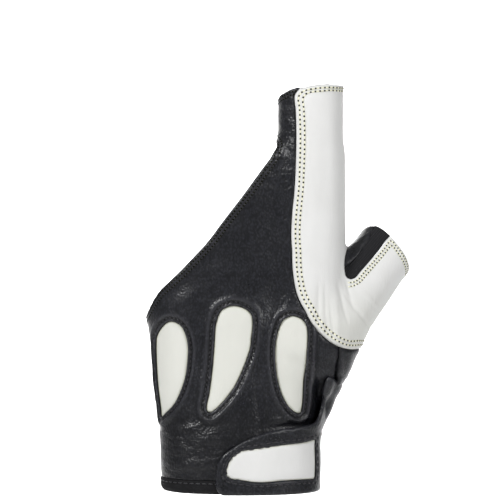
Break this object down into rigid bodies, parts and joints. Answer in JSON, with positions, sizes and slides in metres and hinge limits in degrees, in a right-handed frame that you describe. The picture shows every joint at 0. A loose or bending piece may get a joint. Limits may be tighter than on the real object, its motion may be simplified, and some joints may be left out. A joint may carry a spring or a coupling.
{
  "type": "archery glove",
  "caption": "Bow-hand archery glove covering wrist, palm, thumb and index finger, open for the other fingers, with guard, cut-out inserts and closure strap.",
  "frame": {"origin": "middle of the wrist opening, in the plane of the cuff's edge", "axes": "+Z towards the fingertips, -Y out of the back of the hand, +X towards the thumb's side"},
  "size_m": [0.1104, 0.0518, 0.1698],
  "materials": {
    "black_leather": "fine grained, half matt",
    "white_leather": "smooth, half matt",
    "stretch_knit": "matt fine rib",
    "binding_tape": "matt woven"
  },
  "bodies": {
    "root": {"back_panel": "black_leather", "palm_panel": "black_leather", "guard_panel": "white_leather", "thumb_gusset": "stretch_knit", "cuff_binding": "binding_tape", "teardrop_insert_outer": "white_leather", "teardrop_insert_middle": "white_leather", "teardrop_insert_inner": "white_leather", "hook_pad": "binding_tape", "closure_strap": "black_leather", "strap_insert": "white_leather"}
  },
  "joints": []
}
